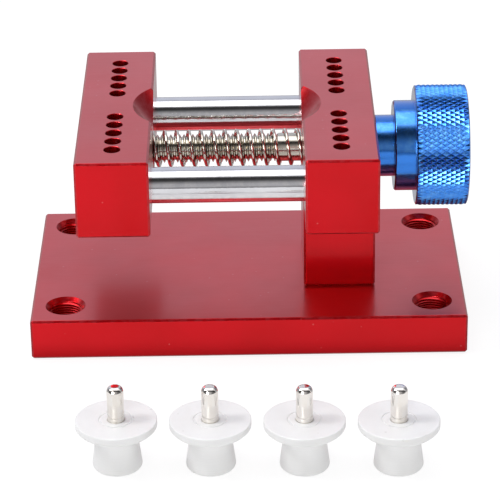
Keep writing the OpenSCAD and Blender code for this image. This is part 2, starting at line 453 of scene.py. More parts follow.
def helical_ridge(
    name: str, wall: float, crest: float, pitch: float, span: tuple[float, float], place: Matrix
) -> bpy.types.Object:
    """Makes one thread's ridge as a closed solid that stands on a wall or a core.

    Args:
        name: the piece's name.
        wall: radius at which the ridge meets its wall or core.
        crest: radius of its crest.
        pitch: advance in one turn.
        span: where the ridge starts and ends along the axis.
        place: where the local frame stands.

    Returns:
        The new object.
    """
    shape = Shape()
    steps = int((span[1] - span[0]) / pitch * RIDGE_SIDES)
    fade = RIDGE_SIDES / 3
    sunk = 0.04 if wall > crest else -0.04
    sections = []
    for i in range(steps + 1):
        angle = math.tau * i / RIDGE_SIDES
        along = span[0] + pitch * i / RIDGE_SIDES
        share = min(1.0, i / fade, (steps - i) / fade)
        top = wall + (crest - wall) * max(share, 0.03)
        profile = ((wall + sunk, -RIDGE_FOOT), (top, -RIDGE_CREST),
                   (top, RIDGE_CREST), (wall + sunk, RIDGE_FOOT))
        sections.append([shape.point(r, angle, along + s * pitch) for r, s in profile])
    shape.sweep(sections)
    return shape.to_object(name, place)


# ---------------------------------------------------------------------------------------------
# Shader parts that the finishes share
# ---------------------------------------------------------------------------------------------

Colour = tuple[float, float, float]


def opaque(colour: Colour) -> tuple[float, float, float, float]:
    """A colour with full alpha."""
    return (*colour, 1.0)


class Tree:
    """Adds and links nodes in one node tree."""

    def __init__(self, tree: bpy.types.NodeTree) -> None:
        """Keeps the tree."""
        self.tree = tree

    def node(self, kind: str, **settings: object) -> bpy.types.Node:
        """Adds a node of a kind, such as TexNoise, and sets its properties.

        Args:
            kind: the node's type without its first word.
            settings: properties by name.

        Returns:
            The new node.
        """
        node = self.tree.nodes.new("ShaderNode" + kind)
        for name, value in settings.items():
            setattr(node, name, value)
        return node

    def join(self, source: bpy.types.NodeSocket, target: bpy.types.NodeSocket) -> None:
        """Links one socket to another."""
        self.tree.links.new(source, target)

    def fill(self, node: bpy.types.Node, **inputs: object) -> bpy.types.Node:
        """Sets inputs by name, underscores for spaces: a socket is linked, a value is set.

        Args:
            node: the node to fill.
            inputs: sockets to link or values to set.

        Returns:
            The same node.
        """
        for name, value in inputs.items():
            socket = node.inputs[name.replace("_", " ")]
            if isinstance(value, bpy.types.NodeSocket):
                self.join(value, socket)
            else:
                socket.default_value = value
        return node

    def math(self, operation: str, first: object, second: object = 0.0) -> bpy.types.NodeSocket:
        """Adds a Math node and returns its output.

        Args:
            operation: its operation.
            first: a socket or a number.
            second: a socket or a number.

        Returns:
            The result.
        """
        node = self.node("Math", operation=operation)
        for socket, value in zip(node.inputs, (first, second)):
            if isinstance(value, bpy.types.NodeSocket):
                self.join(value, socket)
            else:
                socket.default_value = value
        return node.outputs[0]

    def spread(
        self, value: bpy.types.NodeSocket, low: float, high: float, to_low: float, to_high: float
    ) -> bpy.types.NodeSocket:
        """Maps a value from one range to another, and holds it at the ends.

        Args:
            value: the value to map.
            low: where the first range starts.
            high: where it ends.
            to_low: the result at its start.
            to_high: the result at its end.

        Returns:
            The mapped value.
        """
        node = self.node("MapRange")
        self.join(value, node.inputs["Value"])
        for name, number in zip(("From Min", "From Max", "To Min", "To Max"),
                                (low, high, to_low, to_high)):
            node.inputs[name].default_value = number
        return node.outputs["Result"]

    def mix(self, share: object, first: object, second: object) -> bpy.types.NodeSocket:
        """Mixes two colours and returns the result.

        Args:
            share: how much of the second colour there is.
            first: a socket or a colour.
            second: a socket or a colour.

        Returns:
            The mixed colour.
        """
        node = self.node("Mix", data_type="RGBA")
        colours = [s for s in node.inputs if s.type == "RGBA"]
        places = (node.inputs[0], colours[0], colours[1])
        for socket, value in zip(places, (share, first, second)):
            if isinstance(value, bpy.types.NodeSocket):
                self.join(value, socket)
            else:
                socket.default_value = value
        return next(s for s in node.outputs if s.type == "RGBA")


class Group(Tree):
    """A shader node group with named inputs and outputs."""

    def __init__(self, name: str, inputs: dict[str, tuple], outputs: dict[str, str]) -> None:
        """Makes the group.

        Args:
            name: the group's name.
            inputs: socket name to (socket type, default value).
            outputs: socket name to socket type.
        """
        super().__init__(bpy.data.node_groups.new(name, "ShaderNodeTree"))
        for title, (kind, value) in inputs.items():
            socket = self.tree.interface.new_socket(
                name=title, in_out="INPUT", socket_type="NodeSocket" + kind
            )
            if value is not None:
                socket.default_value = value
        for title, kind in outputs.items():
            self.tree.interface.new_socket(
                name=title, in_out="OUTPUT", socket_type="NodeSocket" + kind
            )
        self.given = self.tree.nodes.new("NodeGroupInput")
        self.result = self.tree.nodes.new("NodeGroupOutput")

    def put_out(self, **outputs: bpy.types.NodeSocket) -> bpy.types.NodeTree:
        """Links the outputs by name and returns the finished tree.

        Args:
            outputs: sockets by the output's name.

        Returns:
            The finished tree.
        """
        for name, socket in outputs.items():
            self.join(socket, self.result.inputs[name.replace("_", " ")])
        return self.tree


@cache
def grain_group() -> bpy.types.NodeTree:
    """Fine scratches and grain that run along one direction.

    Returns:
        The group's tree, built once.
    """
    g = Group(
        "fine_grain",
        {"Vector": ("Vector", None), "Stretch": ("Vector", (1, 1, 1)), "Scale": ("Float", 800.0)},
        {"Mask": "Float", "Height": "Float"},
    )
    stretch = g.node("VectorMath", operation="MULTIPLY")
    g.join(g.given.outputs["Vector"], stretch.inputs[0])
    g.join(g.given.outputs["Stretch"], stretch.inputs[1])
    fine = g.fill(g.node("TexNoise"), Vector=stretch.outputs[0], Scale=g.given.outputs["Scale"],
                  Detail=3.0, Roughness=0.6)
    mask = g.spread(fine.outputs["Fac"], 0.42, 0.72, 0.0, 1.0)
    return g.put_out(Mask=mask, Height=fine.outputs["Fac"])


@cache
def clouds_group() -> bpy.types.NodeTree:
    """Slow changes between two tones, as dye and plating have.

    Returns:
        The group's tree, built once.
    """
    g = Group(
        "tone_clouds",
        {
            "Vector": ("Vector", None),
            "Scale": ("Float", 60.0),
            "Tone A": ("Color", (1, 1, 1, 1)),
            "Tone B": ("Color", (0, 0, 0, 1)),
        },
        {"Color": "Color", "Mask": "Float"},
    )
    slow = g.fill(g.node("TexNoise"), Vector=g.given.outputs["Vector"],
                  Scale=g.given.outputs["Scale"], Detail=2.0, Roughness=0.5)
    share = g.spread(slow.outputs["Fac"], 0.35, 0.65, 0.0, 1.0)
    colour = g.mix(share, g.given.outputs["Tone A"], g.given.outputs["Tone B"])
    return g.put_out(Color=colour, Mask=share)


@cache
def wear_group() -> bpy.types.NodeTree:
    """Edges that handling has rubbed brighter, in patches.

    Returns:
        The group's tree, built once.
    """
    g = Group(
        "edge_wear",
        {
            "Vector": ("Vector", None),
            "Color": ("Color", (1, 1, 1, 1)),
            "Worn Color": ("Color", (1, 1, 1, 1)),
            "Amount": ("Float", 0.5),
            "Scale": ("Float", 500.0),
        },
        {"Color": "Color", "Mask": "Float"},
    )
    mark = g.node("Attribute", attribute_name=EDGE)
    patch = g.fill(g.node("TexNoise"), Vector=g.given.outputs["Vector"],
                   Scale=g.given.outputs["Scale"], Detail=4.0, Roughness=0.65)
    rubbed = g.spread(patch.outputs["Fac"], 0.42, 0.62, 0.15, 1.0)
    mask = g.math("MULTIPLY", g.math("MULTIPLY", mark.outputs["Fac"], rubbed),
                  g.given.outputs["Amount"])
    colour = g.mix(mask, g.given.outputs["Color"], g.given.outputs["Worn Color"])
    return g.put_out(Color=colour, Mask=mask)


@cache
def turning_group() -> bpy.types.NodeTree:
    """The fine grooves that a lathe tool leaves, set by the place along and away from an axis.

    Returns:
        The group's tree, built once.
    """
    g = Group(
        "turning_marks",
        {"Vector": ("Vector", None), "Axis": ("Vector", (1, 0, 0)), "Centre": ("Vector", (0, 0, 0)),
         "Density": ("Float", 3000.0)},
        {"Mask": "Float", "Height": "Float"},
    )
    from_centre = g.node("VectorMath", operation="SUBTRACT")
    g.join(g.given.outputs["Vector"], from_centre.inputs[0])
    g.join(g.given.outputs["Centre"], from_centre.inputs[1])
    along = g.node("VectorMath", operation="DOT_PRODUCT")
    g.join(from_centre.outputs[0], along.inputs[0])
    g.join(g.given.outputs["Axis"], along.inputs[1])
    across = g.node("VectorMath", operation="CROSS_PRODUCT")
    g.join(from_centre.outputs[0], across.inputs[0])
    g.join(g.given.outputs["Axis"], across.inputs[1])
    away = g.node("VectorMath", operation="LENGTH")
    g.join(across.outputs[0], away.inputs[0])
    spread_out = g.math("MULTIPLY", away.outputs["Value"], GROOVE_LEAN)
    place = g.math("ADD", along.outputs["Value"], spread_out)
    groove = g.node("TexNoise", noise_dimensions="1D")
    g.join(g.math("MULTIPLY", place, g.given.outputs["Density"]), groove.inputs["W"])
    g.fill(groove, Scale=1.0, Detail=2.0)
    mask = g.spread(groove.outputs["Fac"], 0.45, 0.7, 0.0, 1.0)
    return g.put_out(Mask=mask, Height=groove.outputs["Fac"])


@cache
def top_sheen_group() -> bpy.types.NodeTree:
    """A painted pale sheen that lightens the faces that look up, as light from above would, uneven in
    patches.

    Returns:
        The group's tree, built once.
    """
    g = Group(
        "painted_top_sheen",
        {"Vector": ("Vector", None), "Color": ("Color", (1, 1, 1, 1)),
         "Haze Color": ("Color", (1, 1, 1, 1)), "Amount": ("Float", 0.05)},
        {"Color": "Color", "Mask": "Float"},
    )
    way = g.node("SeparateXYZ")
    g.join(g.node("NewGeometry").outputs["Normal"], way.inputs[0])
    # painted sheen: the more a face looks up, the paler its colour is painted
    up = g.spread(way.outputs["Z"], 0.8, 0.95, 0.0, 1.0)
    patch = g.fill(g.node("TexNoise"), Vector=g.given.outputs["Vector"], Scale=35.0, Detail=4.0,
                   Roughness=0.6)
    uneven = g.spread(patch.outputs["Fac"], 0.3, 0.7, 0.75, 1.25)
    mask = g.math("MULTIPLY", g.math("MULTIPLY", up, uneven), g.given.outputs["Amount"])
    colour = g.mix(mask, g.given.outputs["Color"], g.given.outputs["Haze Color"])
    return g.put_out(Color=colour, Mask=mask)


@cache
def specks_group() -> bpy.types.NodeTree:
    """Sparse specks of dust and lint.

    Returns:
        The group's tree, built once.
    """
    g = Group(
        "dust_specks",
        {"Vector": ("Vector", None), "Scale": ("Float", 900.0), "Amount": ("Float", 0.5)},
        {"Mask": "Float"},
    )
    cells = g.fill(g.node("TexVoronoi"), Vector=g.given.outputs["Vector"],
                   Scale=g.given.outputs["Scale"])
    pick = g.node("SeparateColor")
    g.join(cells.outputs["Color"], pick.inputs[0])
    rare = g.spread(pick.outputs[0], 0.984, 0.988, 0.0, 1.0)
    spot = g.spread(cells.outputs["Distance"], 0.12, 0.3, 1.0, 0.0)
    mask = g.math("MULTIPLY", g.math("MULTIPLY", rare, spot), g.given.outputs["Amount"])
    return g.put_out(Mask=mask)


class Surface(Tree):
    """One material's tree, with a Principled shader and the piece's own coordinates."""

    def __init__(self, name: str) -> None:
        """Makes the material and its shader.

        Args:
            name: the material's name.
        """
        self.material = bpy.data.materials.new(name)
        self.material.use_nodes = True
        super().__init__(self.material.node_tree)
        self.shader = next(n for n in self.tree.nodes if n.type == "BSDF_PRINCIPLED")
        self.own = self.node("TexCoord").outputs["Object"]

    def group(self, tree: bpy.types.NodeTree, **inputs: object) -> bpy.types.Node:
        """Places a shared group in this material with its own values.

        Args:
            tree: the group's tree.
            inputs: its own values by name.

        Returns:
            The group's node.
        """
        node = self.node("Group", node_tree=tree)
        self.join(self.own, node.inputs["Vector"])
        return self.fill(node, **inputs)

    def bump(self, height: bpy.types.NodeSocket, depth: float, strength: float) -> None:
        """Feeds a height, of a depth in metres, to the shader's normal.

        Args:
            height: the relief, from 0 to 1.
            depth: what a height of 1 stands for.
            strength: how much of it shows.
        """
        bump = self.node("Bump")
        self.join(height, bump.inputs["Height"])
        bump.inputs["Distance"].default_value = depth
        bump.inputs["Strength"].default_value = strength
        self.join(bump.outputs["Normal"], self.shader.inputs["Normal"])

    def constants(self, **inputs: object) -> None:
        """Sets the numbers that are the same all over the surface."""
        self.fill(self.shader, **inputs)


@dataclass(frozen=True)
class Anodised:
    """Dyed anodised aluminium, milled or turned, with rubbed edges and a painted pale sheen on the faces
    that look up.

    Attributes:
        name: the material's name.
        dye: the colour that the dyed metal reflects.
        deep: the same in its darker patches.
        worn: the colour of a rubbed edge.
        roughness: of the clean surface.
        coat_roughness: of the clear oxide over it.
        relief: strength of the grain and the grooves.
        relief_depth: their depth, in metres.
        wear: how much the edges are rubbed.
        painted_sheen: how much painted pale sheen lightens the faces that look up.
        stretch: how the milling grain is drawn out along X, Y and Z.
        turned_about: a point on the lathe's axis along X, or None where the piece is milled.
    """

    name: str
    dye: Colour
    deep: Colour
    worn: Colour
    roughness: float = 0.3
    coat_roughness: float = 0.1
    relief: float = 0.25
    relief_depth: float = 0.000012
    wear: float = 0.5
    painted_sheen: float = 0.06
    stretch: tuple[float, float, float] = (0.05, 1.0, 1.0)
    turned_about: tuple[float, float, float] | None = None

    def build(self) -> bpy.types.Material:
        """Builds the material.

        Returns:
            The finished material.
        """
        s = Surface(self.name)
        clouds = s.group(clouds_group(), Scale=45.0, Tone_A=opaque(self.dye), Tone_B=opaque(self.deep))
        # painted sheen: a pale, sky-tinted colour laid over the faces that look up
        painted_sheen = s.group(top_sheen_group(), Color=clouds.outputs["Color"],
                       Haze_Color=opaque((0.75, 0.78, 0.84)), Amount=self.painted_sheen)
        worn = s.group(wear_group(), Color=painted_sheen.outputs["Color"], Worn_Color=opaque(self.worn),
                       Amount=self.wear)
        specks = s.group(specks_group(), Amount=0.12)
        colour = s.mix(specks.outputs["Mask"], worn.outputs["Color"], opaque((0.8, 0.76, 0.74)))
        s.join(colour, s.shader.inputs["Base Color"])
        grain = s.group(grain_group(), Stretch=self.stretch, Scale=2600.0)
        height = grain.outputs["Height"]
        if self.turned_about:
            marks = s.group(turning_group(), Axis=(1, 0, 0), Centre=self.turned_about)
            height = s.math("ADD", s.math("MULTIPLY", height, 0.4), marks.outputs["Height"])
        rough = s.math("ADD", s.spread(grain.outputs["Mask"], 0, 1, self.roughness,
                                       self.roughness + 0.07),
                       s.math("MULTIPLY", specks.outputs["Mask"], 0.4))
        rough = s.math("ADD", rough, s.spread(clouds.outputs["Mask"], 0, 1, -0.015, 0.02))
        s.join(rough, s.shader.inputs["Roughness"])
        s.bump(height, self.relief_depth, self.relief)
        s.constants(Metallic=1.0, Coat_Weight=1.0, Coat_IOR=1.27, Coat_Roughness=self.coat_roughness)
        return s.material


@dataclass(frozen=True)
class BrightSteel:
    """Polished, plated or drawn steel.

    Attributes:
        name: the material's name.
        tone: what the clean metal reflects.
        dull: what it reflects where it is stained.
        roughness: of the clean surface.
        axis: direction of the lathe's or the die's axis.
        centre: a point on that axis.
        marks: strength of the grooves round that axis.
        marks_depth: their depth, in metres.
        grain: share of fine mottling in the surface's relief.
    """

    name: str
    tone: Colour
    dull: Colour
    roughness: float
    axis: tuple[float, float, float] = (1, 0, 0)
    centre: tuple[float, float, float] = (0, 0, 0)
    marks: float = 0.3
    marks_depth: float = 0.000008
    grain: float = 0.3

    def build(self) -> bpy.types.Material:
        """Builds the material.

        Returns:
            The finished material.
        """
        s = Surface(self.name)
        clouds = s.group(clouds_group(), Scale=120.0, Tone_A=opaque(self.tone), Tone_B=opaque(self.dull))
        worn = s.group(wear_group(), Color=clouds.outputs["Color"],
                       Worn_Color=opaque((0.86, 0.85, 0.83)), Amount=0.5)
        s.join(worn.outputs["Color"], s.shader.inputs["Base Color"])
        marks = s.group(turning_group(), Axis=self.axis, Centre=self.centre, Density=5200.0)
        grain = s.group(grain_group(), Stretch=(0.6, 1, 1), Scale=1300.0)
        relief = s.math("ADD", marks.outputs["Height"],
                        s.math("MULTIPLY", grain.outputs["Height"], self.grain))
        rough = s.math("ADD", s.spread(marks.outputs["Mask"], 0, 1, self.roughness,
                                       self.roughness + 0.04),
                       s.spread(grain.outputs["Mask"], 0, 1, 0.0, 0.05))
        s.join(rough, s.shader.inputs["Roughness"])
        s.bump(relief, self.marks_depth, self.marks)
        s.constants(Metallic=1.0)
        return s.material


@dataclass(frozen=True)
class BlackOxide:
    """Blackened steel of a socket screw, rubbed bright on its edges."""

    name: str = "black_oxide"

    def build(self) -> bpy.types.Material:
        """Builds the material.

        Returns:
            The finished material.
        """
        s = Surface(self.name)
        clouds = s.group(clouds_group(), Scale=400.0, Tone_A=opaque((0.045, 0.045, 0.05)),
                         Tone_B=opaque((0.09, 0.085, 0.08)))
        worn = s.group(wear_group(), Color=clouds.outputs["Color"],
                       Worn_Color=opaque((0.32, 0.31, 0.30)), Amount=0.6, Scale=1500.0)
        s.join(worn.outputs["Color"], s.shader.inputs["Base Color"])
        grain = s.group(grain_group(), Scale=3000.0)
        s.join(s.spread(grain.outputs["Mask"], 0, 1, 0.32, 0.5), s.shader.inputs["Roughness"])
        s.bump(grain.outputs["Height"], 0.00001, 0.4)
        s.constants(Metallic=0.85)
        return s.material


@dataclass(frozen=True)
class TurnedNylon:
    """White nylon, turned, with a faint milky depth."""

    name: str
    centre: tuple[float, float, float]

    def build(self) -> bpy.types.Material:
        """Builds the material.

        Returns:
            The finished material.
        """
        s = Surface(self.name)
        clouds = s.group(clouds_group(), Scale=150.0, Tone_A=opaque((0.81, 0.81, 0.805)),
                         Tone_B=opaque((0.785, 0.783, 0.775)))
        marks = s.group(turning_group(), Axis=(0, 0, 1), Centre=self.centre, Density=4200.0)
        specks = s.group(specks_group(), Amount=0.35, Scale=700.0)
        tone = s.mix(s.math("MULTIPLY", marks.outputs["Mask"], 0.25), clouds.outputs["Color"],
                     opaque((0.73, 0.73, 0.72)))
        colour = s.mix(specks.outputs["Mask"], tone, opaque((0.45, 0.43, 0.40)))
        s.join(colour, s.shader.inputs["Base Color"])
        s.join(s.spread(marks.outputs["Mask"], 0, 1, 0.38, 0.5), s.shader.inputs["Roughness"])
        s.bump(marks.outputs["Height"], 0.00003, 0.5)
        s.constants(Subsurface_Weight=0.12, Subsurface_Radius=(0.002, 0.002, 0.0018),
                    Subsurface_Scale=0.5, IOR=1.53)
        return s.material


# ---------------------------------------------------------------------------------------------
# Sub-assemblies
# ---------------------------------------------------------------------------------------------


def bore(
    name: str, radius: float, depth: float, place: Matrix, lip: float = 0.25, end_lip: float = 0.0
) -> bpy.types.Object:
    """Makes the tool for a round hole whose mouth, at the local origin, has a broken edge.

    Args:
        name: the tool's name.
        radius: the hole's radius.
        depth: its depth, along -Z.
        place: where the mouth is.
        lip: width of the broken edge at the mouth.
        end_lip: the same at the far end of a through hole, which then breaks out there.

    Returns:
        The tool, a closed solid.
    """
    mouth = [
        Corner(radius, -lip, lip * 0.4),
        Corner(radius + lip, 0, 0),
        Corner(radius + lip, OUT),
        Corner(0, OUT),
    ]
    if end_lip:
        end = [Corner(0, -depth - OUT), Corner(radius + end_lip, -depth - OUT),
               Corner(radius + end_lip, -depth), Corner(radius, -depth + end_lip, end_lip * 0.4)]
    else:
        end = [Corner(0, -depth), Corner(radius, -depth)]
    return turned(name, end + mouth, place, 72)


@dataclass
class BasePlate:
    """The thick plate that the press stands on, with a tapped hole near each corner.

    All sizes are in millimetres.
    """

    chamfer: float = 0.6
    soft: float = 0.07
    mouth_radius: float = 5.6
    mouth_depth: float = 1.2
    thread_pitch: float = 0.75
    thread_crest: float = 4.2
    screw_bore: float = 2.75
    screw_recess: float = 4.6
    screw_recess_depth: float = 5.6

    def bolt_hole(self, place: Matrix, radius: float, thick: float) -> bpy.types.Object:
        """Makes the tool for one through hole with wide mouths, its axis on place's Z axis.

        Args:
            place: the hole's end at the plate's underside.
            radius: the bore's radius.
            thick: the plate's thickness.

        Returns:
            The tool, a closed solid.
        """
        ease = 0.12
        return turned(
            "bolt_hole",
            [
                Corner(0, -OUT),
                Corner(self.mouth_radius, -OUT),
                Corner(self.mouth_radius, 0),
                Corner(radius, self.mouth_depth, ease),
                Corner(radius, thick - self.mouth_depth, ease),
                Corner(self.mouth_radius, thick),
                Corner(self.mouth_radius, thick + OUT),
                Corner(0, thick + OUT),
            ],
            place,
            96,
        )

    def screw_hole(self, place: Matrix, thick: float) -> bpy.types.Object:
        """Makes the tool for a riser screw's hole, its recess at the plate's underside.

        Args:
            place: the hole's end at the plate's underside.
            thick: the plate's thickness.

        Returns:
            The tool, a closed solid.
        """
        return turned(
            "screw_hole",
            [
                Corner(0, -OUT),
                Corner(self.screw_recess + 0.3, -OUT),
                Corner(self.screw_recess + 0.3, 0),
                Corner(self.screw_recess, 0.3, 0.1),
                Corner(self.screw_recess, self.screw_recess_depth),
                Corner(self.screw_bore, self.screw_recess_depth),
                Corner(self.screw_bore, thick + OUT),
                Corner(0, thick + OUT),
            ],
            place,
            72,
        )

    def build(self, red: bpy.types.Material) -> None:
        """Builds the plate and its threads.

        Args:
            red: its finish.
        """
        low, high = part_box("base_plate")
        thick = (high.z - low.z) / MM
        bolts = mount("base_bolts")["dims"]
        places = [
            Vector((sx * bolts["spacing_x_mm"] / 2, sy * bolts["spacing_y_mm"] / 2, 0)) * MM
            for sx in (-1, 1)
            for sy in (-1, 1)
        ]
        plate = block("base_plate_body", low, high, self.chamfer, self.soft)
        tools = [self.bolt_hole(upright(p), bolts["hole_r_mm"], thick) for p in places]
        for node in RISER_SCREWS:
            centre = middle(node)
            tools.append(self.screw_hole(upright(Vector((centre.x, centre.y, 0))), thick))
        cut(plate, tools)
        mark_edges(plate, 1.0 * MM)
        finish_piece(plate, red, Body.FRAME.value, ("base_plate",))
        for number, place in enumerate(places, 1):
            thread = helical_ridge(
                f"bolt_hole_thread_{number}",
                bolts["hole_r_mm"],
                self.thread_crest,
                self.thread_pitch,
                (self.mouth_depth + 0.3, thick - self.mouth_depth - 0.3),
                upright(place),
            )
            finish_piece(thread, red, Body.FRAME.value)


@dataclass
class Riser:
    """The block between the plate and the fixed jaw, its sizes in millimetres."""

    chamfer: float = 0.6
    soft: float = 0.07
    screw_bore: float = 2.75

    def build(self, red: bpy.types.Material) -> None:
        """Builds the block with its two screw holes.

        Args:
            red: its finish.
        """
        low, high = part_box("riser_block")
        height = (high.z - low.z) / MM
        riser = block("riser_block_body", low, high, self.chamfer, self.soft)
        tools = []
        for node in RISER_SCREWS:
            centre = middle(node)
            mouth = Vector((centre.x, centre.y, high.z))
            tools.append(bore("screw_bore", self.screw_bore, height, upright(mouth), 0.3, 0.3))
        cut(riser, tools)
        mark_edges(riser, 1.0 * MM)
        finish_piece(riser, red, Body.FRAME.value, ("riser_block",))


class Side(Enum):
    """Which jaw it is: its CAD node, and the way from its inner face into the jaw."""

    FIXED = ("fixed_jaw", 1)
    MOVING = ("moving_jaw", -1)

    @property
    def node(self) -> str:
        """The CAD node's name."""
        return self.value[0]

    @property
    def inwards(self) -> int:
        """+1 where the jaw lies to the right of its inner face, -1 where it lies to the left."""
        return self.value[1]


@dataclass
class Jaw:
    """A jaw with its rows of peg holes, its notch, and its bores for the screw and the rods.

    Attributes:
        side: which jaw it is.
        chamfer: width of the chamfer along its edges; all sizes are in millimetres.
        soft: how much the chamfer's own edges are eased.
        peg_depth: depth of the peg holes.
        hole_lip: width of the broken edge at their mouths.
        notch_radius: radius of the notch at the jaw's top.
        notch_offset: how far its axis lies beyond the inner face.
        notch_depth: how deep it goes at that face.
        notch_lip: width of the broken edge round it.
        pocket_radius: radius of the spring's pocket.
        pocket_depth: its depth.
        rod_seat: depth of the rods' seats in the fixed jaw.
        rod_gap: room round a rod.
        screw_gap: room round the lead screw.
        grub_hole: radius and depth of the rods' grub screw holes.
        riser_hole: the same for the riser's screws.
    """

    side: Side
    chamfer: float = 0.6
    soft: float = 0.07
    peg_depth: float = 7.4
    notch_radius: float = 17.0
    hole_lip: float = 0.12
    notch_offset: float = 11.7
    notch_depth: float = 7.0
    notch_lip: float = 0.12
    pocket_radius: float = 5.75
    pocket_depth: float = 3.0
    rod_seat: float = 15.0
    rod_gap: float = 0.03
    screw_gap: float = 0.1
    grub_hole: tuple[float, float] = (2.02, 3.6)
    riser_hole: tuple[float, float] = (2.52, 8.0)

    def peg_places(self) -> list[tuple[Vector, float]]:
        """The mouths of the peg holes and their radii, from the record's mounts.

        Returns:
            A mouth and a radius for each hole, in metres and in millimetres.
        """
        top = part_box(self.side.node)[1].z
        found = []
        for one in frame["record"]["mounts"]:
            if one["name"].startswith(self.side.node + "_pegs"):
                centre = Vector(one["pos_m"])
                half = one["dims"]["spacing_y_mm"] * MM / 2
                for sign in (-1, 1):
                    mouth = Vector((centre.x, centre.y + sign * half, top))
                    found.append((mouth, one["dims"]["hole_r_mm"]))
        return found

    def notch(self, face: Vector) -> bpy.types.Object:
        """Makes the tapered tool for the notch, its axis beyond the inner face.

        Args:
            face: the middle of the inner face's top edge.

        Returns:
            The tool, a closed solid.
        """
        axis = face - Vector((self.side.inwards * self.notch_offset * MM, 0, 0))
        return turned(
            "notch",
            [
                Corner(0, -self.notch_depth),
                Corner(self.notch_offset, -self.notch_depth),
                Corner(self.notch_radius - self.notch_lip, -2 * self.notch_lip, 0.05),
                Corner(self.notch_radius + self.notch_lip, 0),
                Corner(self.notch_radius + self.notch_lip, OUT),
                Corner(0, OUT),
            ],
            upright(axis),
            192,
        )

    def screw_hole(self, face: Vector, thick: float) -> bpy.types.Object:
        """Makes the tool for the spring's pocket and the screw's bore behind it.

        Args:
            face: where the screw's axis meets the inner face.
            thick: the jaw's thickness.

        Returns:
            The tool, a closed solid.
        """
        radius = half_height("lead_screw") + self.screw_gap
        lip = 0.3
        place = sideways_back(face) if self.side.inwards > 0 else sideways(face)
        return turned(
            "screw_hole",
            [
                Corner(0, -thick - OUT),
                Corner(radius + lip, -thick - OUT),
                Corner(radius + lip, -thick),
                Corner(radius, -thick + lip, 0.1),
                Corner(radius, -self.pocket_depth),
                Corner(self.pocket_radius, -self.pocket_depth),
                Corner(self.pocket_radius, -lip, 0.1),
                Corner(self.pocket_radius + lip, 0),
                Corner(self.pocket_radius + lip, OUT),
                Corner(0, OUT),
            ],
            place,
            96,
        )

    def rod_hole(self, rod: str, face_x: float, thick: float) -> bpy.types.Object:
        """Makes the tool for one guide rod's bore: a seat in the fixed jaw, a through bore else.

        Args:
            rod: the rod's CAD node.
            face_x: place of the inner face along X, in metres.
            thick: the jaw's thickness.

        Returns:
            The tool, a closed solid.
        """
        centre = middle(rod)
        radius = half_height(rod) + self.rod_gap
        mouth = Vector((face_x, centre.y, centre.z))
        if self.side is Side.FIXED:
            return bore("rod_seat", radius, self.rod_seat, sideways_back(mouth), 0.25)
        return bore("rod_bore", radius, thick, sideways(mouth), 0.25, 0.4)

    def under_holes(self, low: Vector) -> list[bpy.types.Object]:
        """Makes the tools for the holes in the fixed jaw's underside.

        Args:
            low: the jaw's lowest corner, in metres.

        Returns:
            The tools, which don't meet one another.
        """
        tools = []
        for node in ROD_GRUBS + RISER_SCREWS:
            radius, depth = self.grub_hole if node in ROD_GRUBS else self.riser_hole
            centre = middle(node)
            mouth = Vector((centre.x, centre.y, low.z))
            tools.append(bore("under_hole", radius, depth, downwards(mouth), 0.2))
        return tools

    def build(self, red: bpy.types.Material) -> None:
        """Builds the jaw.

        Args:
            red: its finish.
        """
        low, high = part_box(self.side.node)
        thick = (high.x - low.x) / MM
        face_x = low.x if self.side.inwards > 0 else high.x
        screw = middle("lead_screw")
        jaw = block(self.side.node + "_body", low, high, self.chamfer, self.soft)
        pegs = self.peg_places()
        tools = [bore("peg_hole", r, self.peg_depth, upright(p), self.hole_lip) for p, r in pegs]
        pattern_y = sum(p.y for p, r in pegs) / len(pegs)
        tools.append(self.notch(Vector((face_x, pattern_y, high.z))))
        tools.append(self.screw_hole(Vector((face_x, screw.y, screw.z)), thick))
        for rod in RODS:
            tools.append(self.rod_hole(rod, face_x, thick))
        cut(jaw, tools)
        if self.side is Side.FIXED:
            cut(jaw, self.under_holes(low))
        mark_edges(jaw, 1.0 * MM)
        body = Body.FRAME if self.side is Side.FIXED else Body.SLIDER
        finish_piece(jaw, red, body.value, (self.side.node,))


@dataclass
class GuideRod:
    """A ground and polished rod with eased ends, its chamfer in millimetres."""

    node: str
    chamfer: float = 0.6

    def build(self, steel: bpy.types.Material) -> None:
        """Builds the rod.

        Args:
            steel: its finish.
        """
        low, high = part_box(self.node)
        centre = middle(self.node)
        radius = half_height(self.node)
        length = (high.x - low.x) / MM
        c = self.chamfer
        rod = turned(
            self.node + "_bar",
            [
                Corner(0, 0),
                Corner(radius - c, 0, 0.12),
                Corner(radius, c, 0.15),
                Corner(radius, length - c, 0.15),
                Corner(radius - c, length, 0.12),
                Corner(0, length),
            ],
            sideways(Vector((low.x, centre.y, centre.z))),
            128,
        )
        mark_edges(rod, 0.8 * MM)
        finish_piece(rod, steel, Body.FRAME.value, (self.node,))


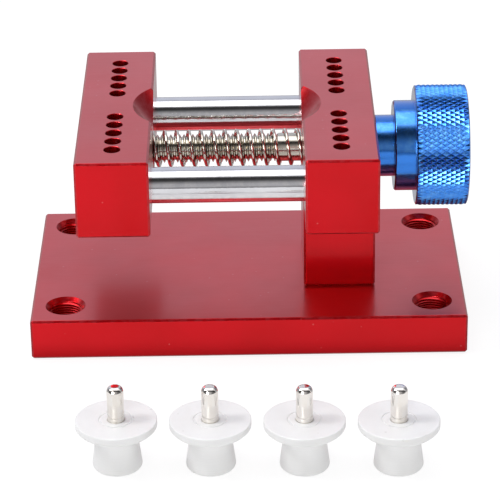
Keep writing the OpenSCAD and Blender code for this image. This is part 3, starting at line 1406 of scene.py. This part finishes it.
@dataclass
class LeadScrew:
    """The screw: a rolled thread on the left, then a plain shank that runs into the knob.

    Attributes:
        pitch: advance in one turn of the thread, in millimetres.
        thread_depth: its depth, in millimetres.
        shank_show: how much of the plain shank shows before the fixed jaw, in millimetres.
        columns: sides that stand for the round.
        tip: how fast the thread grows from the screw's end, as a slope.
        corners: where a thread's four corners lie, as shares of its pitch.
    """

    pitch: float = 1.25
    thread_depth: float = 0.767
    shank_show: float = 7.4
    columns: int = 64
    tip: float = 0.9
    corners: tuple[float, ...] = (0.0, 0.125, 0.4375, 0.6875)

    def thread_radius(self, step: int, outer: float) -> float:
        """The radius at one of the four corners of a thread: two at the crest, two at the root."""
        return outer if step % 4 < 2 else outer - self.thread_depth

    def build(self, steel: bpy.types.Material) -> None:
        """Builds the screw as one closed mesh.

        Args:
            steel: its finish.
        """
        low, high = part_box("lead_screw")
        centre = middle("lead_screw")
        outer = half_height("lead_screw")
        length = (high.x - low.x) / MM
        jaw_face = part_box("fixed_jaw")[0].x
        end = (jaw_face - low.x) / MM - self.shank_show
        core = outer - self.thread_depth
        turns = math.ceil(end / self.pitch) + 2
        shape = Shape()
        first = shape.ring(core - 0.1, 0, self.columns)
        last = shape.ring(core, end, self.columns)
        made: dict[tuple[int, int], int] = {}

        def vertex(column: int, step: int) -> int:
            """The point of a thread corner, held between the thread's two ends.

            Args:
                column: which of the sides it stands on.
                step: which corner it is, counted on through the turns.

            Returns:
                The point's number.
            """
            if column == self.columns:
                return vertex(0, step + 4)
            if (column, step) not in made:
                share = step // 4 + self.corners[step % 4] + column / self.columns - 1
                along = share * self.pitch
                angle = math.tau * column / self.columns
                limit = core - 0.1 + along * self.tip
                radius = min(self.thread_radius(step, outer), limit)
                if along <= 0:
                    made[column, step] = first[column]
                elif along >= end:
                    made[column, step] = last[column]
                else:
                    made[column, step] = shape.point(radius, angle, along)
            return made[column, step]

        for step in range(4 * turns):
            for column in range(self.columns):
                shape.face(vertex(column, step), vertex(column + 1, step),
                           vertex(column + 1, step + 1), vertex(column, step + 1))
        nose = shape.ring(0, 0, self.columns)
        shape.bridge(nose, first)
        shank = rounded([
            Corner(core, end),
            Corner(outer, end + 0.5, 0.12),
            Corner(outer, length - 0.6, 0.15),
            Corner(outer - 0.6, length),
            Corner(0, length),
        ])
        rings = [last] + [shape.ring(r, a, self.columns) for r, a in shank[1:]]
        for one, two in zip(rings, rings[1:]):
            shape.bridge(one, two)
        screw = shape.to_object("lead_screw_thread", sideways(Vector((low.x, centre.y, centre.z))))
        finish_piece(screw, steel, Body.SCREW.value, ("lead_screw",), sharp=50.0)


@dataclass
class ReturnSpring:
    """The coil spring between the jaws, with a closed turn at each end.

    Attributes:
        wire: the wire's radius, in millimetres.
        turns: how many turns it has in all.
        start: angle of the wire's start from +Y towards +Z, in turns.
        closed_turns: how many turns are closed at each end.
        closed_pitch: advance in one closed turn, in millimetres.
        end_share: size of the wire's cut ends, as a share of its own.
        per_turn: steps in one turn.
        sides: sides of the wire.
    """

    wire: float = 0.48
    turns: float = 15.25
    start: float = -0.2
    closed_turns: float = 1.0
    closed_pitch: float = 0.998
    end_share: float = 0.75
    per_turn: int = 40
    sides: int = 12

    def place(self, turn: float, length: float) -> float:
        """How far along its axis the wire's middle is after some turns.

        Args:
            turn: turns from the wire's start.
            length: length of the coil between its wires' middles.

        Returns:
            The distance from the coil's start.
        """
        closed = self.closed_turns * self.closed_pitch
        pitch = (length - 2 * closed) / (self.turns - 2 * self.closed_turns)
        if turn < self.closed_turns:
            return turn * self.closed_pitch
        if turn > self.turns - self.closed_turns:
            return length - (self.turns - turn) * self.closed_pitch
        return closed + (turn - self.closed_turns) * pitch

    def build(self, steel: bpy.types.Material) -> None:
        """Builds the coil.

        Args:
            steel: its finish.
        """
        low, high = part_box("return_spring")
        centre = middle("lead_screw")
        coil = half_height("return_spring") - self.wire
        length = (high.x - low.x) / MM - 2 * self.wire
        shape = Shape()
        sections = []
        steps = round(self.turns * self.per_turn)
        for i in range(steps + 1):
            turn = i / self.per_turn
            along = self.place(min(turn, self.turns), length)
            angle = math.tau * (turn + self.start)
            wire = self.wire * (self.end_share if i in (0, steps) else 1.0)
            sections.append([
                shape.point(
                    coil + wire * math.cos(math.tau * k / self.sides),
                    angle,
                    along + wire * math.sin(math.tau * k / self.sides),
                )
                for k in range(self.sides)
            ])
        shape.sweep(sections)
        start = Vector((low.x + self.wire * MM, centre.y, centre.z))
        spring = shape.to_object("return_spring_coil", sideways(start))
        finish_piece(spring, steel, Body.FRAME.value, ("return_spring",))
        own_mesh(spring)


@dataclass
class Knob:
    """The knob: a hub, a step and a grip with a diamond knurl, its sizes in millimetres.

    Attributes:
        hub_radius: radius of the hub that faces the jaw.
        hub_length: its length.
        step_radius: radius of the step between the hub and the grip.
        step_length: its length.
        bore_radius: radius of the bore for the screw.
        bore_depth: its depth.
        edge: width of the turned edges.
        diamonds: how many diamonds a row has.
        half_rows: how many half rows there are along the grip.
        knurl_depth: depth of the grooves between the diamonds.
        knurl_end: width of the slanted ring at each end of the knurl.
        flat: size of a diamond's flat top, as a share of its half width.
        cut_depth: how far a diamond that an end cuts through stands below the others.
        rim_width: width of the rim round the sunk end face.
        dish_slope: width of the slope inside that rim.
        dish_depth: how deep the end face is sunk.
        grub_radius: radius of the grub screw's hole in the hub.
        grub_stop: how far from the axis that hole ends.
    """

    hub_radius: float = 8.7
    hub_length: float = 5.4
    step_radius: float = 12.75
    step_length: float = 5.9
    bore_radius: float = 4.02
    bore_depth: float = 20.0
    edge: float = 0.4
    diamonds: int = 74
    half_rows: int = 11
    knurl_depth: float = 0.36
    knurl_end: float = 0.3
    flat: float = 0.13
    cut_depth: float = 0.12
    rim_width: float = 3.2
    dish_slope: float = 0.4
    dish_depth: float = 0.25
    grub_radius: float = 2.02
    grub_stop: float = 3.0

    def knurl(self, shape: Shape, start: float, end: float, outer: float) -> tuple[list, list]:
        """Adds the rows of diamonds, cut through at both ends, and returns their end rings.

        Args:
            shape: the shape to add to.
            start: where the knurl starts along the axis.
            end: where it ends.
            outer: radius over the diamonds.

        Returns:
            The two rings, with two points for each diamond.
        """
        count = 2 * self.diamonds
        valley = outer - self.knurl_depth
        step = (end - start) / self.half_rows
        made: dict[tuple[int, int], int] = {}

        def low(i: int, j: int) -> int:
            """A point at the bottom of the grooves, or on a diamond that an end cuts through.

            Args:
                i: its place round the knob.
                j: its row.

            Returns:
                The point's number.
            """
            key = (i % count, j)
            if key not in made:
                radius = outer - self.cut_depth if (i + j) % 2 == 0 else valley
                made[key] = shape.point(radius, math.tau * key[0] / count, start + j * step)
            return made[key]

        for j in range(self.half_rows + 1):
            for i in range(j % 2, count, 2):
                east, west = low(i + 1, j), low(i - 1, j)
                if j == 0:
                    shape.face(low(i, 0), east, low(i, 1))
                    shape.face(low(i, 0), low(i, 1), west)
                    continue
                if j == self.half_rows:
                    shape.face(low(i, j), low(i, j - 1), east)
                    shape.face(low(i, j), west, low(i, j - 1))
                    continue
                north, south = low(i, j + 1), low(i, j - 1)
                tops = [
                    shape.point(outer, math.tau * (i + self.flat * a) / count,
                                start + (j + self.flat * b) * step)
                    for a, b in ((1, 0), (0, 1), (-1, 0), (0, -1))
                ]
                shape.face(*tops)
                around = (east, north, west, south)
                for k in range(4):
                    n = (k + 1) % 4
                    shape.face(around[k], around[n], tops[n], tops[k])
        first = [low(i, 0) for i in range(count)]
        last = [low(i, self.half_rows) for i in range(count)]
        return first, last

    def build(self, blue: bpy.types.Material) -> None:
        """Builds the knob.

        Args:
            blue: its finish.
        """
        low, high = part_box("knob")
        centre = middle("lead_screw")
        outer = half_height("knob")
        length = (high.x - low.x) / MM
        grip = self.hub_length + self.step_length
        e = self.edge
        count = 2 * self.diamonds
        valley = outer - self.knurl_depth
        dish = outer - self.rim_width
        before = rounded([
            Corner(0, self.bore_depth),
            Corner(self.bore_radius, self.bore_depth),
            Corner(self.bore_radius, e, 0.08),
            Corner(self.bore_radius + e, 0, 0.08),
            Corner(self.hub_radius - e, 0, 0.1),
            Corner(self.hub_radius, e, 0.1),
            Corner(self.hub_radius, self.hub_length, 0.15),
            Corner(self.step_radius - e, self.hub_length, 0.1),
            Corner(self.step_radius, self.hub_length + e, 0.1),
            Corner(self.step_radius, grip, 0.15),
            Corner(valley - 0.3, grip, 0.1),
            Corner(valley, grip + self.knurl_end),
        ])
        after = rounded([
            Corner(valley, length - self.knurl_end),
            Corner(valley - 0.3, length, 0.1),
            Corner(dish, length, 0.2),
            Corner(dish - self.dish_slope, length - self.dish_depth, 0.2),
            Corner(0, length - self.dish_depth),
        ])
        shape = Shape()
        rings = shape.turn(before[:-1], count)
        first, last = self.knurl(shape, grip + self.knurl_end, length - self.knurl_end, outer)
        shape.bridge(rings[-1], first)
        rings = shape.turn(after[1:], count)
        shape.bridge(last, rings[0])
        knob = shape.to_object("knob_grip", sideways(Vector((low.x, centre.y, centre.z))))
        grub = middle("knob_grub_screw")
        mouth = Vector((grub.x, centre.y, centre.z - self.hub_radius * MM))
        depth = self.hub_radius - self.grub_stop
        cut(knob, [bore("grub_hole", self.grub_radius, depth, downwards(mouth), 0.15)])
        mark_edges(knob, 0.7 * MM)
        finish_piece(knob, blue, Body.SCREW.value, ("knob",), sharp=30.0)


@dataclass
class SocketScrew:
    """A black socket screw, with or without a head, its socket facing down.

    Attributes:
        node: its CAD node.
        body: the body that it rides on.
        key: width of its socket across the flats; all sizes are in millimetres.
        key_depth: the socket's depth.
        head_radius: its head's radius, or 0 for a grub screw.
        head_height: its head's height.
        shank_radius: its shank's radius.
    """

    node: str
    body: Body
    key: float = 2.0
    key_depth: float = 1.4
    head_radius: float = 0.0
    head_height: float = 0.0
    shank_radius: float = 2.0

    def build(self, black: bpy.types.Material) -> None:
        """Builds the screw, its socket facing down, its place along its axis from the frame.

        Args:
            black: its finish.
        """
        low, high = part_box(self.node)
        centre = middle(self.node)
        length = (high.z - low.z) / MM
        place = upright(Vector((centre.x, centre.y, low.z)))
        r, point = self.shank_radius, 0.5
        if self.head_radius:
            start = [
                Corner(0, 0),
                Corner(self.head_radius - 0.4, 0, 0.1),
                Corner(self.head_radius, 0.4, 0.1),
                Corner(self.head_radius, self.head_height, 0.08),
                Corner(r, self.head_height),
            ]
        else:
            start = [Corner(0, 0), Corner(r - 0.2, 0, 0.05), Corner(r, 0.2, 0.05)]
        end = [Corner(r, length - point, 0.1), Corner(r - point, length, 0.1), Corner(0, length)]
        screw = turned(self.node + "_turned", start + end, place, 48)
        facing = downwards(Vector((centre.x, centre.y, low.z)))
        cut(screw, [hexagon("key", self.key, self.key_depth, facing)])
        mark_edges(screw, 0.6 * MM)
        finish_piece(screw, black, self.body.value, (self.node,))


@dataclass
class Peg:
    """A loose peg: a nylon head that stands on its foot, with a steel pin on top."""

    number: int
    foot_end: float = 6.5
    foot_top: float = 5.25
    foot_height: float = 10.8
    flange_chamfer: float = 1.0
    ring_radius: float = 4.0
    ring_width: float = 0.5
    ring_depth: float = 0.2
    pin_seat: float = 8.0
    tip_radius: float = 1.2
    tip_height: float = 1.3

    def head(self, place: Matrix, flange: float, top: float, pin: float) -> bpy.types.Object:
        """Turns the nylon head, of a flange radius and a height, round a pin of a radius.

        Args:
            place: the middle of the foot's end.
            flange: the flange's radius.
            top: the head's height.
            pin: the pin's radius.

        Returns:
            The head.
        """
        ring, wide, deep = self.ring_radius, self.ring_width, self.ring_depth
        return turned(
            f"peg_{self.number}_head",
            [
                Corner(0, 0),
                Corner(self.foot_end - 0.5, 0, 0.25),
                Corner(self.foot_end, 0.6, 0.4),
                Corner(self.foot_top, self.foot_height, 0.25),
                Corner(flange - self.flange_chamfer, self.foot_height, 0.3),
                Corner(flange, self.foot_height + self.flange_chamfer, 0.3),
                Corner(flange, top, 0.3),
                Corner(ring + wide, top, 0.06),
                Corner(ring + wide - 0.06, top - deep, 0.05),
                Corner(ring + 0.06, top - deep, 0.05),
                Corner(ring, top, 0.06),
                Corner(pin + 0.2, top, 0.06),
                Corner(pin + 0.01, top - 0.2, 0.06),
                Corner(pin + 0.01, top - self.pin_seat),
                Corner(0, top - self.pin_seat),
            ],
            place,
            128,
        )

    def pin(self, place: Matrix, radius: float, length: float) -> bpy.types.Object:
        """Turns the steel pin, from its foot up.

        Args:
            place: the middle of the pin's foot.
            radius: the pin's radius.
            length: its length.

        Returns:
            The pin.
        """
        shoulder = 0.35
        return turned(
            f"peg_{self.number}_pin",
            [
                Corner(0, 0),
                Corner(radius - 0.3, 0, 0.08),
                Corner(radius, 0.3, 0.08),
                Corner(radius, length - self.tip_height, 0.3),
                Corner(radius - shoulder, length - self.tip_height / 3, 0.35),
                Corner(self.tip_radius, length, 0.3),
                Corner(0, length),
            ],
            place,
            96,
        )

    def build(self, nylon: bpy.types.Material, steel: bpy.types.Material) -> None:
        """Builds the head and the pin.

        Args:
            nylon: the head's finish.
            steel: the pin's finish.
        """
        head_node, pin_node = f"peg_head_{self.number}", f"peg_pin_{self.number}"
        low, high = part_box(head_node)
        pin_low, pin_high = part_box(pin_node)
        centre = middle(head_node)
        radius = (pin_high.x - pin_low.x) / 2 / MM
        foot = Vector((centre.x, centre.y, low.z))
        head = self.head(upright(foot), (high.x - low.x) / 2 / MM, (high.z - low.z) / MM, radius)
        seat = Vector((centre.x, centre.y, pin_low.z))
        pin = self.pin(upright(seat), radius, (pin_high.z - pin_low.z) / MM)
        for piece in (head, pin):
            mark_edges(piece, 0.6 * MM)
        body = f"peg_{self.number}"
        finish_piece(head, nylon, body, (head_node,))
        finish_piece(pin, steel, body, (pin_node,))


# ---------------------------------------------------------------------------------------------
# Studio
# ---------------------------------------------------------------------------------------------


@dataclass(frozen=True)
class Lamp:
    """A square lamp that faces the press.

    Attributes:
        name: the lamp's name.
        place: where it hangs, in metres.
        power: in watts.
        size: the length of its side, in metres.
        in_metal: whether bright surfaces show it.
        in_matt: whether it lifts the matt ones.
    """

    name: str
    place: tuple[float, float, float]
    power: float
    size: float
    in_metal: bool
    in_matt: bool

    def hang(self, target: Vector) -> None:
        """Hangs the lamp and points it at a target.

        Args:
            target: what it points at, in metres.
        """
        data = bpy.data.lights.new(self.name, "AREA")
        data.energy = self.power
        data.size = self.size
        lamp = bpy.data.objects.new(self.name, data)
        bpy.context.scene.collection.objects.link(lamp)
        lamp.location = self.place
        lamp.rotation_euler = (target - lamp.location).to_track_quat("-Z", "Y").to_euler()
        lamp.visible_glossy = self.in_metal
        lamp.visible_diffuse = self.in_matt


@dataclass
class Studio:
    """The pale floor, the soft light round the press, and the camera.

    Attributes:
        floor_half: half the floor's side, in metres.
        floor_drop: how far it lies under the plate, in metres.
        floor_rough: its roughness.
        floor_white: its whiteness towards the camera, and towards the press.
        floor_glow: its glow towards the camera, and towards the press.
        shaded_share: how much of that the press sees of the floor behind its front edge, where the floor
            is painted into shade.
        shade_edge_y: where that painted shade of the floor starts and ends, in front of the press.
        lamps: the lamps.
        target: what they point at.
        camera_at: the camera's place.
        camera_tilt: how far it looks down, in degrees.
        camera_roll: how far it is turned about its own axis, in degrees.
        lens: its focal length, in millimetres.
        brightest: brightness of the brightest soft box.
        left_dim: brightness of the soft boxes' left ends.
        right_dim: brightness of their right ends.
        front_tint: colour of the soft boxes in front and over the press.
        back_tint: colour of those behind it.
        back_from: where they start, in degrees up from the front.
        sky: degrees up from the front, and brightness there, on a line over the press.
    """

    floor_half: float = 3.0
    floor_drop: float = 0.0001
    floor_rough: float = 0.9
    floor_white: tuple[float, float] = (0.2, 0.4)
    floor_glow: tuple[float, float] = (0.84, 0.52)
    shaded_share: float = 0.5
    shade_edge_y: tuple[float, float] = (-0.045, -0.035)
    lamps: tuple[Lamp, ...] = (
        Lamp("key", (-0.55, -0.10, 0.62), 1.7, 0.18, in_metal=True, in_matt=True),
        Lamp("front_fill", (-0.3, -1.2, 0.40), 4.4, 0.6, in_metal=False, in_matt=True),
        Lamp("right_fill", (0.9, -0.6, 0.5), 2.0, 0.6, in_metal=False, in_matt=True),
        Lamp("side_glint", (-0.49, -1.03, 0.34), 8.5, 0.55, in_metal=True, in_matt=False),
    )
    target: tuple[float, float, float] = (0.0, 0.0, 0.03)
    camera_at: tuple[float, float, float] = (0.00056, -0.68595, 0.3503)
    camera_tilt: float = 26.01
    camera_roll: float = -0.846
    lens: float = 190.7
    brightest: float = 2.5
    left_dim: float = 0.25
    right_dim: float = 0.3
    front_tint: Colour = (1.0, 0.99, 1.02)
    back_tint: Colour = (0.95, 0.98, 1.12)
    back_from: float = 118.0
    sky: tuple[tuple[float, float], ...] = (
        (-180, 0.60), (-4, 0.60), (-1, 0.25), (6, 0.34), (13, 0.50), (26, 0.46), (38, 0.26),
        (46, 0.10), (52, 0.04), (66, 0.04), (73, 0.60), (80, 2.4), (114, 2.4), (120, 0.70),
        (125, 0.50), (132, 0.74), (160, 0.76), (180, 0.62),
    )

    def floor(self) -> None:
        """Lays the floor, a wide matt sheet with a soft glow that keeps shadows light, painted darker
        behind the press's front edge in what the press sees.
        """
        shell = bmesh.new()
        bmesh.ops.create_grid(shell, x_segments=8, y_segments=8, size=self.floor_half)
        mesh = bpy.data.meshes.new("floor")
        shell.to_mesh(mesh)
        shell.free()
        sheet = link("floor", mesh)
        sheet.location.z = -self.floor_drop
        material = bpy.data.materials.new("pale_floor")
        material.use_nodes = True
        tree = Tree(material.node_tree)
        shader = next(n for n in tree.tree.nodes if n.type == "BSDF_PRINCIPLED")
        place = tree.node("SeparateXYZ")
        tree.join(tree.node("TexCoord").outputs["Object"], place.inputs[0])
        # painted shade: behind the press's front edge, the floor is darker in what the press reflects
        # and is lit by
        front = tree.spread(place.outputs["Y"], *self.shade_edge_y, 1.0, self.shaded_share)
        seen = tree.node("LightPath").outputs["Is Camera Ray"]
        bare = tree.math("SUBTRACT", 1.0, seen)
        parts = []
        for to_camera, to_metal in (self.floor_white, self.floor_glow):
            reflected = tree.math("MULTIPLY", tree.math("MULTIPLY", front, to_metal), bare)
            parts.append(tree.math("ADD", reflected, tree.math("MULTIPLY", seen, to_camera)))
        tree.fill(shader, Base_Color=parts[0], Roughness=self.floor_rough, Specular_IOR_Level=0.0,
                  Emission_Color=opaque((1, 1, 1)), Emission_Strength=parts[1])
        mesh.materials.append(material)

    def light(self) -> None:
        """Sets the soft boxes round the press as the world's light, by height over the front."""
        world = bpy.data.worlds.new("studio")
        bpy.context.scene.world = world
        world.use_nodes = True
        tree = Tree(world.node_tree)
        background = next(n for n in tree.tree.nodes if n.type == "BACKGROUND")
        parts = tree.node("SeparateXYZ")
        tree.join(tree.node("TexCoord").outputs["Generated"], parts.inputs[0])
        height = tree.math("ARCTAN2", parts.outputs["Z"], tree.math("MULTIPLY", parts.outputs["Y"], -1))
        ramp = tree.node("ValToRGB")
        tree.join(tree.spread(height, -math.pi, math.pi, 0, 1), ramp.inputs["Fac"])
        stops = ramp.color_ramp.elements
        for degrees, _ in self.sky[1:-1]:
            stops.new(degrees / 360 + 0.5)
        for stop, (degrees, bright) in zip(stops, self.sky):
            tint = self.back_tint if degrees > self.back_from else self.front_tint
            stop.position = degrees / 360 + 0.5
            stop.color = opaque(tuple(bright / self.brightest * part for part in tint))
        left = tree.spread(parts.outputs["X"], -0.9, -0.45, self.left_dim, 1.0)
        right = tree.spread(parts.outputs["X"], 0.25, 0.7, 1.0, self.right_dim)
        level = tree.math("MULTIPLY", tree.math("MULTIPLY", left, right), self.brightest)
        tree.fill(background, Color=ramp.outputs["Color"], Strength=level)

    def camera(self) -> None:
        """Sets the camera in front of the press, looking down at it through a long lens."""
        tilt, roll = math.radians(self.camera_tilt), math.radians(self.camera_roll)
        right = Vector((1, 0, 0))
        ahead = Vector((0, math.cos(tilt), -math.sin(tilt)))
        up = Vector((0, math.sin(tilt), math.cos(tilt)))
        across = right * math.cos(roll) + up * math.sin(roll)
        over = up * math.cos(roll) - right * math.sin(roll)
        data = bpy.data.cameras.new("camera")
        data.lens = self.lens
        camera = bpy.data.objects.new("camera", data)
        bpy.context.scene.collection.objects.link(camera)
        turn = Matrix((across, over, -ahead)).transposed().to_4x4()
        camera.matrix_world = Matrix.Translation(Vector(self.camera_at)) @ turn
        bpy.context.scene.camera = camera

    def build(self) -> None:
        """Sets up the whole studio."""
        self.floor()
        self.light()
        for lamp in self.lamps:
            lamp.hang(Vector(self.target))
        self.camera()
        bpy.context.scene.view_settings.view_transform = "Standard"


def red_finish() -> Anodised:
    """Red anodised and milled, as the plate, the riser and the jaws are.

    Returns:
        The finish.
    """
    # Its sheen amount paints a pale sheen over the red faces that look up.
    return Anodised("red_anodised", dye=(0.62, 0.001, 0.007), deep=(0.565, 0.001, 0.005),
                    worn=(0.75, 0.10, 0.12), roughness=0.3,
                    coat_roughness=0.16, wear=0.3, painted_sheen=0.065)


def blue_finish() -> Anodised:
    """Blue anodised and turned, as the knob is.

    Returns:
        The finish.
    """
    return Anodised("blue_anodised", dye=(0.040, 0.23, 0.78), deep=(0.030, 0.20, 0.70),
                    worn=(0.16, 0.45, 0.88), roughness=0.18, coat_roughness=0.1,
                    relief=0.5, wear=0.4, painted_sheen=0.0, stretch=(1, 1, 1),
                    turned_about=tuple(middle("lead_screw")))


def main() -> None:
    """Builds the press in order, from the plate up."""
    logging.basicConfig(level=logging.INFO, format="%(name)s: %(message)s")
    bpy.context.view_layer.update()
    axis = tuple(middle("lead_screw"))
    red = red_finish().build()
    blue = blue_finish().build()
    screw_steel = BrightSteel("plated_screw", tone=(0.68, 0.65, 0.58), dull=(0.50, 0.46, 0.39),
                              roughness=0.14, centre=axis).build()
    spring_steel = BrightSteel("spring_wire", tone=(0.74, 0.71, 0.65), dull=(0.50, 0.46, 0.40),
                               roughness=0.12, centre=axis).build()
    black = BlackOxide().build()
    Studio().build()
    BasePlate().build(red)
    Riser().build(red)
    Jaw(Side.FIXED).build(red)
    Jaw(Side.MOVING).build(red)
    for node in RODS:
        rod_steel = BrightSteel("polished_" + node, tone=(0.74, 0.74, 0.76), dull=(0.66, 0.66, 0.68),
                                roughness=0.06, centre=tuple(middle(node)), marks=0.35, grain=2.5)
        GuideRod(node).build(rod_steel.build())
    LeadScrew().build(screw_steel)
    ReturnSpring().build(spring_steel)
    Knob().build(blue)
    SocketScrew("knob_grub_screw", Body.SCREW).build(black)
    for node in ROD_GRUBS:
        SocketScrew(node, Body.FRAME).build(black)
    for node in RISER_SCREWS:
        SocketScrew(node, Body.FRAME, key=4.0, key_depth=2.6, head_radius=4.25, head_height=5.0,
                    shank_radius=2.5).build(black)
    for number in range(1, 5):
        centre = tuple(middle(f"peg_head_{number}"))
        nylon = TurnedNylon(f"nylon_{number}", centre).build()
        plated = BrightSteel(f"nickel_pin_{number}", tone=(0.88, 0.84, 0.79), dull=(0.80, 0.76, 0.70),
                             roughness=0.1, axis=(0, 0, 1), centre=centre, marks=0.2).build()
        Peg(number).build(nylon, plated)


if __name__ == "__main__":
    main()
